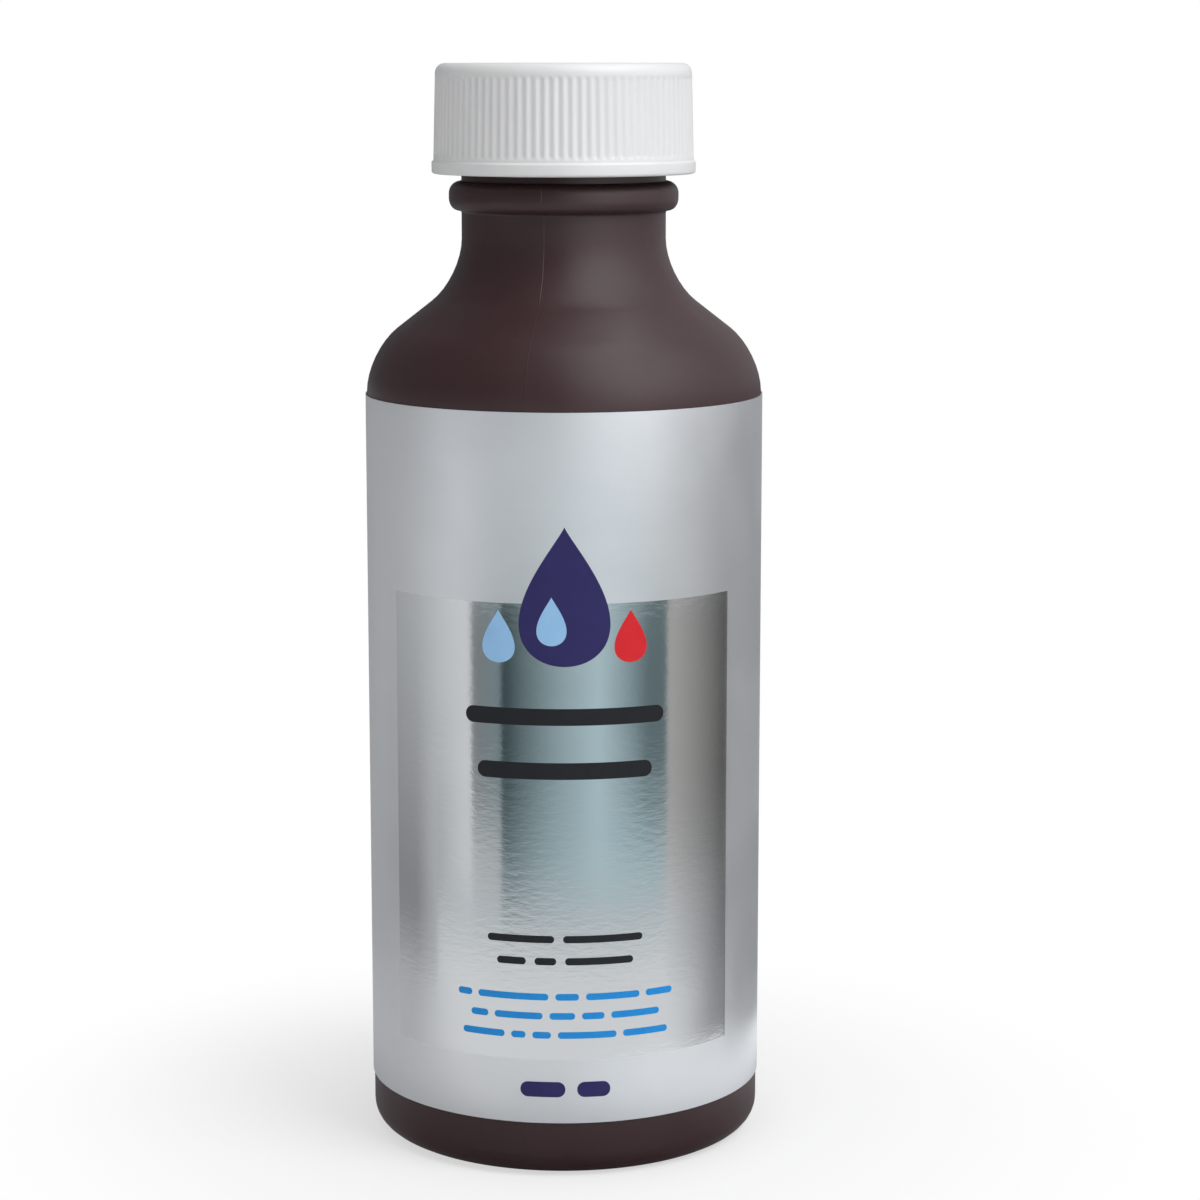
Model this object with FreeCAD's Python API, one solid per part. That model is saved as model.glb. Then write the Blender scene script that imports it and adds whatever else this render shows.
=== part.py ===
"""Brown blow-moulded medicine bottle with a fluted screw cap, its foam liner and a wrap-round label.

The bottle stands on the plane z = 0 with its axis along +Z, and the middle of the label faces -Y.
Lengths are in millimetres and angles in degrees.
"""
import FreeCAD, Part

import math
import os

# Body of the bottle
BODY_DIAMETER = 41.0         # outside, over the straight panel that carries the label
BODY_WALL = 0.9              # body, shoulder and base
BASE_CORNER = 2.5            # outside rounding between the panel and the base
STANDING_RING = 2.2          # width of the flat ring that the bottle stands on
PUSH_UP = 1.8                # rise of the middle of the base above the standing ring
PUSH_UP_RUN = 4.5            # width of the slope from the standing ring to the raised middle
PUSH_UP_ROUND = 5.0          # rounding at the top of that slope
RING_ROUND = 1.5             # rounding between that slope and the standing ring

# Shoulder, a slope with a round above the panel and a hollow below the neck
SHOULDER_EDGE = 82.5         # height where the lines of the panel and the slope would meet
SHOULDER_RISE = 7.75         # from there to where the lines of the slope and the neck would meet
SHOULDER_ROUND = 8.2
SHOULDER_HOLLOW = 8.2

# Neck, with a transfer bead below the finish that the cap screws on
NECK_DIAMETER = 21.1         # outside, below the bead and at the root of the finish
NECK_WALL = 1.45
NECK_LENGTH = 6.9            # from the foot of the neck to the bead
BEAD_HEIGHT = 3.0
BEAD_PROJECTION = 1.3
BEAD_ROUND = 1.1
FINISH_HEIGHT = 9.85         # from the bead to the sealing lip
LIP_CHAMFER = 0.3            # eases both edges of the sealing lip
THREAD_DEPTH = 1.2           # room round the finish for the screw thread

# Foam liner, which the lip presses a ring into
LINER_THICKNESS = 1.0
LINER_BITE = 0.1             # how deep the lip sits in the liner
BITE_CLEARANCE = 0.1         # between the walls of the pressed ring and the neck
LINER_CLEARANCE = 0.3        # between the edge of the liner and the bore of the cap

# Screw cap
CAP_CLEARANCE = 0.3          # between the room for the thread and the bore of the cap
CAP_WALL = 1.35              # from the bore to the crests of the flutes, at their lower end
CAP_DRAFT = 0.25             # how much the crests draw in from there to the top
CAP_TOP = 1.2                # thickness of the top panel
CAP_GAP = 0.75               # between the bead and the lower edge of the cap
CAP_EDGE_ROUND = 1.0
CAP_RIM_HEIGHT = 1.4         # plain rim below the flutes
CAP_RIM_STEP = 0.2           # how far the rim stands out from the crests
CAP_RIM_CHAMFER = 0.25
CAP_LEAD_IN = 0.5            # chamfer at the mouth of the bore
RETAINER_PROJECTION = 0.5    # small ridge that holds the liner in the cap
RETAINER_HEIGHT = 0.6
RETAINER_CLEARANCE = 0.1     # between the ridge and the liner
FLUTE_PITCH = 0.935          # spacing of the flutes along the crests
FLUTE_WIDTH = 0.7
FLUTE_DEPTH = 0.32
FLUTE_MARGIN = 0.15          # plain strip above and below the flutes

# Wrap-round label
LABEL_THICKNESS = 0.1
LABEL_GLUE = 0.05
LABEL_TOP_MARGIN = 0.2       # below the upper end of the straight panel
LABEL_BOTTOM_MARGIN = 3.35   # above the lower end of the straight panel
LABEL_SEAM = 5.0             # strip of bare bottle between the label's ends, at the back
LABEL_CORNER = 1.5

ORIGIN = FreeCAD.Vector(0, 0, 0)
UP = FreeCAD.Vector(0, 0, 1)
BACK = FreeCAD.Vector(0, 1, 0)
FULL_TURN = 360.0

# Radii that the pieces share
body_radius = BODY_DIAMETER / 2
neck_radius = NECK_DIAMETER / 2
mouth_radius = neck_radius - NECK_WALL
cap_bore = neck_radius + THREAD_DEPTH + CAP_CLEARANCE
crest_radius = cap_bore + CAP_WALL
liner_radius = cap_bore - LINER_CLEARANCE

# Heights that the pieces share
neck_foot = SHOULDER_EDGE + SHOULDER_RISE
bead_bottom = neck_foot + NECK_LENGTH
bead_top = bead_bottom + BEAD_HEIGHT
lip_height = bead_top + FINISH_HEIGHT
liner_bottom = lip_height - LINER_BITE
liner_top = liner_bottom + LINER_THICKNESS
cap_top = liner_top + CAP_TOP
cap_bottom = bead_top + CAP_GAP

# Slope of the shoulder, as the angle that it turns away from the upright panel
shoulder_turn = math.atan2(body_radius - neck_radius, SHOULDER_RISE)
panel_top = SHOULDER_EDGE - SHOULDER_ROUND * math.tan(shoulder_turn / 2)
panel_bottom = BASE_CORNER


def outline(corners):
    """Closed wire through (radius, height, rounding) corners, drawn in the plane y = 0."""
    points = [FreeCAD.Vector(radius, 0, height) for radius, height, _ in corners]
    count = len(points)
    to_last = [points[i - 1] - points[i] for i in range(count)]
    to_next = [points[(i + 1) % count] - points[i] for i in range(count)]
    half_angles = [to_last[i].getAngle(to_next[i]) / 2 for i in range(count)]
    setbacks = [corners[i][2] / math.tan(half_angles[i]) for i in range(count)]

    # A rounding is limited by the two sides that it runs into
    limited = []
    for i in range(count):
        before = to_last[i].Length / max(setbacks[i - 1] + setbacks[i], to_last[i].Length)
        after = to_next[i].Length / max(setbacks[i] + setbacks[(i + 1) % count], to_next[i].Length)
        limited.append(setbacks[i] * min(before, after))

    edges = []
    for i in range(count):
        start = points[i] + FreeCAD.Vector(to_next[i]).normalize() * limited[i]
        following = (i + 1) % count
        end = points[following] + FreeCAD.Vector(to_last[following]).normalize() * limited[following]
        if not start.isEqual(end, 1e-6):
            edges.append(Part.LineSegment(start, end).toShape())
        if limited[i] > 0:
            edges.append(rounding(points[i], to_last[i], to_next[i], limited[i], half_angles[i]))
    return Part.Wire(Part.sortEdges(edges)[0])


def rounding(corner, to_last, to_next, setback, half_angle):
    """Arc that touches both sides of a corner at the given setback from it."""
    toward_last = FreeCAD.Vector(to_last).normalize()
    toward_next = FreeCAD.Vector(to_next).normalize()
    inward = (toward_last + toward_next).normalize()
    depth = setback / math.cos(half_angle) - setback * math.tan(half_angle)
    first = corner + toward_last * setback
    middle = corner + inward * depth
    last = corner + toward_next * setback
    return Part.Arc(first, middle, last).toShape()


def revolved(corners):
    """Solid of revolution about the bottle's axis."""
    return Part.Face(outline(corners)).revolve(ORIGIN, UP, FULL_TURN)


def make_bottle():
    """Hollow bottle, from the pushed-up base to the open mouth."""
    bead_radius = neck_radius + BEAD_PROJECTION
    ring_inside = body_radius - BASE_CORNER - STANDING_RING
    rise_inside = ring_inside - PUSH_UP_RUN
    outside = [
        (0, PUSH_UP, 0),
        (rise_inside, PUSH_UP, PUSH_UP_ROUND),
        (ring_inside, 0, RING_ROUND),
        (body_radius, 0, BASE_CORNER),
        (body_radius, SHOULDER_EDGE, SHOULDER_ROUND),
        (neck_radius, neck_foot, SHOULDER_HOLLOW),
        (neck_radius, bead_bottom, 0),
        (bead_radius, bead_bottom, BEAD_ROUND),
        (bead_radius, bead_top, BEAD_ROUND),
        (neck_radius, bead_top, 0),
        (neck_radius, lip_height - LIP_CHAMFER, 0),
        (neck_radius - LIP_CHAMFER, lip_height, 0),
    ]
    # The inner slope runs one wall inside the outer one, up to the narrower mouth
    room_radius = body_radius - BODY_WALL
    room_edge = SHOULDER_EDGE - BODY_WALL * math.tan(shoulder_turn / 2)
    mouth_foot = room_edge + (room_radius - mouth_radius) / math.tan(shoulder_turn)
    inside = [
        (mouth_radius + LIP_CHAMFER, lip_height, 0),
        (mouth_radius, lip_height - LIP_CHAMFER, 0),
        (mouth_radius, mouth_foot, SHOULDER_HOLLOW + NECK_WALL),
        (room_radius, room_edge, SHOULDER_ROUND - BODY_WALL),
        (room_radius, BODY_WALL, BASE_CORNER - BODY_WALL),
        (ring_inside, BODY_WALL, 0),
        (rise_inside, PUSH_UP + BODY_WALL, 0),
        (0, PUSH_UP + BODY_WALL, 0),
    ]
    return revolved(outside + inside)


def make_liner():
    """Foam disc with the shallow ring that the lip has pressed into it."""
    ring_inside = mouth_radius - BITE_CLEARANCE
    ring_outside = neck_radius + BITE_CLEARANCE
    return revolved([
        (0, liner_bottom, 0),
        (ring_inside, liner_bottom, 0),
        (ring_inside, lip_height, 0),
        (ring_outside, lip_height, 0),
        (ring_outside, liner_bottom, 0),
        (liner_radius, liner_bottom, 0),
        (liner_radius, liner_top, 0),
        (0, liner_top, 0),
    ])


def make_cap():
    """Cap with a plain rim, a ring of fine grip flutes and a ridge that keeps the liner in."""
    rim_radius = crest_radius + CAP_RIM_STEP
    rim_top = cap_bottom + CAP_RIM_HEIGHT
    retainer_top = liner_bottom - RETAINER_CLEARANCE
    retainer_bottom = retainer_top - RETAINER_HEIGHT
    retainer_middle = (retainer_top + retainer_bottom) / 2
    shell = revolved([
        (0, cap_top, 0),
        (crest_radius - CAP_DRAFT, cap_top, CAP_EDGE_ROUND),
        (crest_radius, rim_top, 0),
        (rim_radius, rim_top - CAP_RIM_STEP, 0),
        (rim_radius, cap_bottom + CAP_RIM_CHAMFER, 0),
        (rim_radius - CAP_RIM_CHAMFER, cap_bottom, 0),
        (cap_bore + CAP_LEAD_IN, cap_bottom, 0),
        (cap_bore, cap_bottom + CAP_LEAD_IN, 0),
        (cap_bore, retainer_bottom, 0),
        (cap_bore - RETAINER_PROJECTION, retainer_middle, 0),
        (cap_bore, retainer_top, 0),
        (cap_bore, liner_top, 0),
        (0, liner_top, 0),
    ])

    # A V-shaped groove of the flute's width and depth, which leans in with the draft of the crests
    # and whose open side lies outside them
    flute_bottom = rim_top + FLUTE_MARGIN
    flute_height = cap_top - CAP_EDGE_ROUND - FLUTE_MARGIN - flute_bottom
    lean = CAP_DRAFT / (cap_top - rim_top)
    root = FreeCAD.Vector(crest_radius - lean * FLUTE_MARGIN - FLUTE_DEPTH, 0, flute_bottom)
    flank = FreeCAD.Vector(2 * FLUTE_DEPTH, FLUTE_WIDTH, 0)
    mirrored_flank = FreeCAD.Vector(flank.x, -flank.y, 0)
    section = Part.makePolygon([root, root + flank, root + mirrored_flank, root])
    groove = Part.Face(section).extrude(FreeCAD.Vector(-lean, 0, 1) * flute_height)
    flute_count = round(math.tau * crest_radius / FLUTE_PITCH)
    step = FULL_TURN / flute_count
    return shell.cut([groove.rotated(ORIGIN, UP, i * step) for i in range(flute_count)])


def make_label():
    """Thin sheet round the panel, with rounded ends that leave an upright seam at the back."""
    bottom = panel_bottom + LABEL_BOTTOM_MARGIN
    top = panel_top - LABEL_TOP_MARGIN
    inner_radius = body_radius + LABEL_GLUE
    outer_radius = inner_radius + LABEL_THICKNESS
    foot = FreeCAD.Vector(0, 0, bottom)
    sheet = Part.makeCylinder(outer_radius, top - bottom, foot, UP)
    sheet = sheet.cut(Part.makeCylinder(inner_radius, top - bottom, foot, UP))

    # Outline of the seam: upright sides that flare into the label's rounded corners
    side = LABEL_SEAM / 2
    flare = side + LABEL_CORNER
    seam = outline([
        (-flare, top + LABEL_CORNER, 0),
        (-flare, top, 0),
        (-side, top, LABEL_CORNER),
        (-side, bottom, LABEL_CORNER),
        (-flare, bottom, 0),
        (-flare, bottom - LABEL_CORNER, 0),
        (flare, bottom - LABEL_CORNER, 0),
        (flare, bottom, 0),
        (side, bottom, LABEL_CORNER),
        (side, top, LABEL_CORNER),
        (flare, top, 0),
        (flare, top + LABEL_CORNER, 0),
    ])
    return sheet.cut(Part.Face(seam).extrude(BACK * BODY_DIAMETER))


def main():
    """Write each piece to its own file."""
    os.makedirs("parts", exist_ok=True)
    pieces = {
        "bottle": make_bottle(),
        "cap": make_cap(),
        "cap_liner": make_liner(),
        "label": make_label(),
    }
    for name, shape in pieces.items():
        shape.exportStep(f"parts/{name}.step")


main()
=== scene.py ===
"""Looks of a brown screw-cap medicine bottle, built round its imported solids.

Lengths are in metres, +Z is up and the middle of the label faces -Y.
"""
import logging
import math
from dataclasses import dataclass
from enum import Enum
from itertools import cycle
from typing import Any

import bmesh
import bpy
from bmesh.types import BMesh, BMVert
from mathutils import Matrix, Vector


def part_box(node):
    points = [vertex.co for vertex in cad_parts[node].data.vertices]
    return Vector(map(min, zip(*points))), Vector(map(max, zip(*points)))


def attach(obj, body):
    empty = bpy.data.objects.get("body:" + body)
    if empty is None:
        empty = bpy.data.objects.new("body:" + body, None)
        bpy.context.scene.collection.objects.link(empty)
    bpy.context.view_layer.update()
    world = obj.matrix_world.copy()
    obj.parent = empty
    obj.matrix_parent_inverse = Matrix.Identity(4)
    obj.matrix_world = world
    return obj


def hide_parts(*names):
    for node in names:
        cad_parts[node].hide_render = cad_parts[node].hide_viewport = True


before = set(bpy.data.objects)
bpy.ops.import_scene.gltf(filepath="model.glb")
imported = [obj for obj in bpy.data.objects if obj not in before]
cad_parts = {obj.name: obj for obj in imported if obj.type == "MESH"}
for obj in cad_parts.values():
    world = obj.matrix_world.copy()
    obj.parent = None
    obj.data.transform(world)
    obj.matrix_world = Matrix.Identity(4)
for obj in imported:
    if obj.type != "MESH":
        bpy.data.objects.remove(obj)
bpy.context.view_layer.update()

LOG = logging.getLogger("bottle")
MM = 0.001
AXIS = (0.0, 0.0, 1.0)
ORIGIN = (0.0, 0.0, 0.0)
MERGE = 1e-7
SHARP_ANGLE = math.radians(40)
LABEL_MAP = "LabelFlat"
GROOVE = "groove"

Corner = tuple[float, float, float]
Colour = tuple[float, float, float]
Span = tuple[float, float]
Socket = bpy.types.NodeSocket
Tree = bpy.types.NodeTree
Material = bpy.types.Material

PLAIN_WHITE: Colour = (1.0, 1.0, 1.0)
TEAL_GAIN: Colour = (1.0, 1.27, 1.34)
TEAL_LIFT: Colour = (0.0, 0.015, 0.018)


class Body(Enum):
    """Rigid bodies that the pieces ride on."""

    BOTTLE = "bottle"
    LINER = "liner"
    CAP = "cap"


class Slot(Enum):
    """Material slots of the record."""

    BROWN = "brown_plastic"
    WHITE = "white_plastic"
    FOAM = "liner_foam"
    FOIL = "label_foil"


def mm(*lengths: float) -> tuple[float, ...]:
    """Give millimetres in metres."""
    return tuple(length * MM for length in lengths)


# Mesh helpers

def smoothstep(low: float, high: float, value: float) -> float:
    """Ease from 0 at low to 1 at high."""
    share = min(max((value - low) / (high - low), 0.0), 1.0)
    return share * share * (3 - 2 * share)


def everything(bm: BMesh) -> list:
    """List all vertices, edges and faces of a mesh."""
    return bm.verts[:] + bm.edges[:] + bm.faces[:]


def face_outwards(bm: BMesh) -> None:
    """Point all faces of a mesh outwards."""
    bmesh.ops.recalc_face_normals(bm, faces=bm.faces[:])


def close_holes(bm: BMesh) -> None:
    """Fill every open edge loop of a mesh."""
    bmesh.ops.holes_fill(bm, edges=[edge for edge in bm.edges if edge.is_boundary], sides=0)


def rotate(bm: BMesh, verts: list[BMVert], angle: float, axis: str = "Z") -> None:
    """Turn vertices about an axis through the origin."""
    bmesh.ops.rotate(bm, verts=verts, cent=ORIGIN, matrix=Matrix.Rotation(angle, 3, axis))


def rounded(
    bm: BMesh, geom: list, offset: float, segments: int, affect: str = "VERTICES", clamp: bool = False,
) -> dict[str, list]:
    """Round corners or edges.

    Args:
        bm: Mesh that holds them.
        geom: The corners or edges.
        offset: How far from them the rounding begins.
        segments: Steps of the rounding.
        affect: Whether corners or edges are rounded.
        clamp: Whether roundings stop short of each other.

    Returns:
        What was made.
    """
    return bmesh.ops.bevel(
        bm, geom=geom, offset=offset, offset_type="OFFSET", segments=segments, profile=0.5,
        affect=affect, clamp_overlap=clamp, material=-1,
    )


def spin(bm: BMesh, angle: float, steps: int, rise: float = 0.0, copies: bool = False) -> None:
    """Turn all of a mesh about the bottle's axis.

    Args:
        bm: Mesh to turn.
        angle: Angle of the turn.
        steps: Steps that it takes.
        rise: How far each step climbs.
        copies: Whether copies are left in place of a swept surface.
    """
    bmesh.ops.spin(
        bm, geom=everything(bm), cent=ORIGIN, axis=AXIS, dvec=(0, 0, rise), angle=angle, steps=steps,
        use_merge=False, use_normal_flip=False, use_duplicate=copies,
    )


def setback(last: Corner, corner: Corner, following: Corner) -> float:
    """Find how far from a corner its rounding begins.

    Args:
        last: The corner before.
        corner: The corner, with its rounding as the third number.
        following: The corner after.

    Returns:
        The distance along both sides.
    """
    to_last = Vector(last[:2]) - Vector(corner[:2])
    to_next = Vector(following[:2]) - Vector(corner[:2])
    return corner[2] / math.tan(to_last.angle(to_next) / 2)


def profile_wire(corners: list[Corner], segments: int) -> BMesh:
    """Draw a wire through rounded corners in the plane y = 0.

    Args:
        corners: Radius, height and rounding of each corner.
        segments: Steps of each rounding.

    Returns:
        A mesh of edges alone.
    """
    bm = bmesh.new()
    verts = [bm.verts.new((radius, 0, height)) for radius, height, _ in corners]
    for first, second in zip(verts, verts[1:]):
        bm.edges.new((first, second))
    for index in range(1, len(corners) - 1):
        if corners[index][2]:
            rounded(bm, [verts[index]], setback(*corners[index - 1:index + 2]), segments)
    return bm


def turned(corners: list[Corner], steps: int, segments: int) -> BMesh:
    """Turn a profile about the bottle's axis, a quarter at first, which is then copied round.

    Args:
        corners: Profile from the axis to the axis.
        steps: Steps of the full turn, a multiple of four.
        segments: Steps of each rounding.

    Returns:
        A closed shell.
    """
    bm = profile_wire(corners, segments)
    spin(bm, math.tau / 4, steps // 4)
    spin(bm, math.tau * 3 / 4, 3, copies=True)
    bmesh.ops.remove_doubles(bm, verts=bm.verts[:], dist=MERGE)
    face_outwards(bm)
    return bm


def disc(radius: float, height: float, steps: int) -> BMesh:
    """Make a level disc round the bottle's axis.

    Args:
        radius: Its radius.
        height: Its height above the table.
        steps: Steps of its edge.

    Returns:
        The disc.
    """
    bm = bmesh.new()
    bmesh.ops.create_circle(bm, cap_ends=True, radius=radius, segments=steps)
    bmesh.ops.translate(bm, verts=bm.verts[:], vec=(0, 0, height))
    return bm


def flat_panel(bm: BMesh, centre: Span, size: Span) -> list[BMVert]:
    """Add an upright panel that faces the front.

    Args:
        bm: Mesh that takes it.
        centre: Its x and z.
        size: Its width and height.

    Returns:
        Its four corners.
    """
    verts = bmesh.ops.create_grid(bm, x_segments=1, y_segments=1, size=0.5)["verts"]
    bmesh.ops.scale(bm, verts=verts, vec=(size[0], size[1], 1))
    rotate(bm, verts, math.pi / 2, "X")
    bmesh.ops.translate(bm, verts=verts, vec=(centre[0], 0, centre[1]))
    return verts


def cut(bm: BMesh, point: tuple, normal: tuple) -> None:
    """Cut every face along a plane and keep both sides."""
    bmesh.ops.bisect_plane(bm, geom=everything(bm), dist=MERGE, plane_co=point, plane_no=normal)


def slice_upright(bm: BMesh, step: float) -> None:
    """Cut a flat sheet into upright strips that can be bent.

    Args:
        bm: Sheet in the plane y = 0.
        step: Width of a strip.
    """
    low = min(v.co.x for v in bm.verts)
    high = max(v.co.x for v in bm.verts)
    for index in range(math.ceil(low / step), math.floor(high / step) + 1):
        cut(bm, (index * step, 0, 0), (1, 0, 0))


def thicken(bm: BMesh, outside: float, inside: float) -> None:
    """Give a flat sheet a wall between two distances from the label's surface.

    Args:
        bm: Sheet in the plane y = 0.
        outside: How far it stands out, towards -Y.
        inside: How far it reaches in, towards +Y.
    """
    face_outwards(bm)
    bmesh.ops.solidify(bm, geom=bm.faces[:], thickness=outside + inside)
    lowest = min(v.co.y for v in bm.verts)
    bmesh.ops.translate(bm, verts=bm.verts[:], vec=(0, -outside - lowest, 0))


def bend(bm: BMesh, radius: float) -> None:
    """Bend a flat sheet round the bottle, with its middle at the front.

    Args:
        bm: Sheet whose x is the length round the bottle and -y the way out.
        radius: Radius that y = 0 is bent to.
    """
    for vert in bm.verts:
        angle = vert.co.x / radius
        reach = radius - vert.co.y
        vert.co = (reach * math.sin(angle), -reach * math.cos(angle), vert.co.z)
    face_outwards(bm)


def new_object(name: str, bm: BMesh, materials: list[Material]) -> bpy.types.Object:
    """Turn a mesh into an object of the scene.

    Args:
        name: Name of the object.
        bm: Its mesh, which is freed.
        materials: Finishes of its faces.

    Returns:
        The object.
    """
    mesh = bpy.data.meshes.new(name)
    bm.to_mesh(mesh)
    bm.free()
    for material in materials:
        mesh.materials.append(material)
    made = bpy.data.objects.new(name, mesh)
    bpy.context.scene.collection.objects.link(made)
    return made


def make_piece(
    name: str, bm: BMesh, body: Body, materials: list[Material], node: str = "",
) -> None:
    """Turn a mesh into a piece of the bottle.

    Args:
        name: Name of the piece.
        bm: Its mesh, which is freed.
        body: Body that it rides on.
        materials: Finishes of its faces.
        node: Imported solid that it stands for, if any.
    """
    piece = new_object(name, bm, materials)
    piece.data.shade_smooth()
    piece.data.set_sharp_from_angle(angle=SHARP_ANGLE)
    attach(piece, body.value)
    if node:
        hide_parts(node)
    LOG.info("%s: %d faces on body %s", name, len(piece.data.polygons), body.value)


# Node helpers

def add(
    tree: Tree, kind: str, inputs: dict[str | int, Any] | None = None, **settings: Any,
) -> bpy.types.Node:
    """Add a node to a tree.

    Args:
        tree: Tree that it goes into.
        kind: Node type, without its ShaderNode prefix.
        inputs: Values or source sockets of its inputs.
        settings: Properties of the node.

    Returns:
        The node.
    """
    node = tree.nodes.new("ShaderNode" + kind)
    for key, value in settings.items():
        setattr(node, key, value)
    for key, value in (inputs or {}).items():
        if isinstance(value, Socket):
            tree.links.new(value, node.inputs[key])
        else:
            node.inputs[key].default_value = value
    return node


def new_material(name: str) -> tuple[Material, Tree]:
    """Start an empty material.

    Args:
        name: Name of the material.

    Returns:
        The material and its tree.
    """
    material = bpy.data.materials.new(name)
    material.use_nodes = True
    material.node_tree.nodes.clear()
    return material, material.node_tree


def close_material(tree: Tree, shader: bpy.types.Node) -> None:
    """Send a shader to the output."""
    add(tree, "OutputMaterial", {"Surface": shader.outputs[0]})


def placed(tree: Tree) -> Socket:
    """Give the place on the object."""
    return add(tree, "TexCoord").outputs["Object"]


def joined(tree: Tree, operation: str, first: Socket, second: Any) -> Socket:
    """Join two values by a Math operation."""
    return add(tree, "Math", {0: first, 1: second}, operation=operation).outputs[0]


def mixed(tree: Tree, factor: Socket, first: Any, second: Any) -> Socket:
    """Mix two colours by a mask."""
    return add(tree, "Mix", {0: factor, 6: first, 7: second}, data_type="RGBA").outputs[2]


def ranged(tree: Tree, value: Socket, low: float, high: float) -> Socket:
    """Map a mask from 0 to 1 onto another range."""
    return add(tree, "MapRange", {"Value": value, "To Min": low, "To Max": high}).outputs[0]


def ramp(tree: Tree, value: Socket, span: Span, start: float = 0.0) -> Socket:
    """Ease a value from the start at a span's low end to 1 at its high end."""
    inputs = {"Value": value, "From Min": span[0], "From Max": span[1], "To Min": start}
    return add(tree, "MapRange", inputs, interpolation_type="SMOOTHSTEP").outputs[0]


def opaque(colour: Colour) -> tuple[float, float, float, float]:
    """Give a colour the alpha that sockets want."""
    return (*colour, 1.0)


@dataclass
class Effects:
    """Shader groups that several finishes share."""

    grain_detail: float = 4.0
    grain_roughness: float = 0.6
    drift_share: float = 0.12
    drift_detail: float = 2.0
    patch_detail: float = 3.0
    patch_distortion: float = 0.6
    patch_edge: Span = (0.42, 0.68)

    def __post_init__(self) -> None:
        """Build both groups."""
        self.grain = self._grain()
        self.handling = self._handling()

    @staticmethod
    def _start(name: str, inputs: dict[str, str], outputs: list[str]) -> tuple[Tree, Any, Any]:
        """Start a group with its sockets.

        Args:
            name: Name of the group.
            inputs: Socket types by name.
            outputs: Names of its float outputs.

        Returns:
            The tree, its input sockets and its output sockets.
        """
        tree = bpy.data.node_groups.new(name, "ShaderNodeTree")
        for key, kind in inputs.items():
            tree.interface.new_socket(name=key, in_out="INPUT", socket_type=kind)
        for key in outputs:
            tree.interface.new_socket(name=key, in_out="OUTPUT", socket_type="NodeSocketFloat")
        return tree, tree.nodes.new("NodeGroupInput").outputs, tree.nodes.new("NodeGroupOutput").inputs

    def _grain(self) -> Tree:
        """Make a fine stretched grain, with a slower drift of tone.

        Returns:
            The group.
        """
        tree, given, out = self._start(
            "surface_grain",
            {"Vector": "NodeSocketVector", "Stretch": "NodeSocketVector", "Scale": "NodeSocketFloat"},
            ["Height", "Tone"],
        )
        stretched = add(
            tree, "VectorMath", {0: given["Vector"], 1: given["Stretch"]}, operation="MULTIPLY",
        ).outputs[0]
        fine = add(tree, "TexNoise", {
            "Vector": stretched, "Scale": given["Scale"],
            "Detail": self.grain_detail, "Roughness": self.grain_roughness,
        })
        slow_scale = joined(tree, "MULTIPLY", given["Scale"], self.drift_share)
        slow = add(
            tree, "TexNoise", {"Vector": stretched, "Scale": slow_scale, "Detail": self.drift_detail},
        )
        tree.links.new(fine.outputs["Fac"], out["Height"])
        tree.links.new(slow.outputs["Fac"], out["Tone"])
        return tree

    def _handling(self) -> Tree:
        """Make soft patches where hands and packing have polished a surface.

        Returns:
            The group.
        """
        tree, given, out = self._start(
            "handling_marks", {"Vector": "NodeSocketVector", "Scale": "NodeSocketFloat"}, ["Mask"],
        )
        noise = add(tree, "TexNoise", {
            "Vector": given["Vector"], "Scale": given["Scale"],
            "Detail": self.patch_detail, "Distortion": self.patch_distortion,
        })
        tree.links.new(ramp(tree, noise.outputs["Fac"], self.patch_edge), out["Mask"])
        return tree

    def add_grain(self, tree: Tree, place: Socket, stretch: Corner, scale: float) -> Any:
        """Add the grain to a material and give its outputs."""
        inputs = {"Vector": place, "Stretch": stretch, "Scale": scale}
        return add(tree, "Group", inputs, node_tree=self.grain).outputs

    def add_handling(self, tree: Tree, place: Socket, scale: float) -> Socket:
        """Add the polished patches to a material and give their mask."""
        inputs = {"Vector": place, "Scale": scale}
        return add(tree, "Group", inputs, node_tree=self.handling).outputs["Mask"]


# Finishes

@dataclass(frozen=True)
class MouldedPlastic:
    """Moulded plastic with a fine grain, slow drift of colour, polished patches and, where given, painted
    shade in its grooves.
    """

    name: str
    shade: Colour
    drift: Colour
    roughness: float
    polished: float
    grain_scale: float
    grain_depth: float
    grain_stretch: Corner = (1.0, 1.0, 1.0)
    grain_strength: float = 0.6
    handling_scale: float = 90.0
    refraction: float = 1.5
    # Colour of the painted shade in the flute grooves, if any.
    painted_groove_shade: Colour | None = None

    def material(self, effects: Effects) -> Material:
        """Build the material.

        Args:
            effects: Shared shader groups.

        Returns:
            The material.
        """
        material, tree = new_material(self.name)
        place = placed(tree)
        grain = effects.add_grain(tree, place, self.grain_stretch, self.grain_scale)
        hands = effects.add_handling(tree, place, self.handling_scale)
        colour = mixed(tree, grain["Tone"], opaque(self.shade), opaque(self.drift))
        # Darkens the flute grooves by their depth: painted shade in the recesses.
        if self.painted_groove_shade:
            groove = add(tree, "Attribute", attribute_name=GROOVE).outputs["Fac"]
            colour = mixed(tree, groove, colour, opaque(self.painted_groove_shade))
        bump = add(tree, "Bump", {
            "Strength": self.grain_strength, "Distance": self.grain_depth, "Height": grain["Height"],
        })
        close_material(tree, add(tree, "BsdfPrincipled", {
            "Base Color": colour,
            "Roughness": ranged(tree, hands, self.roughness, self.polished),
            "Normal": bump.outputs["Normal"],
            "IOR": self.refraction,
        }))
        return material


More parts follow.
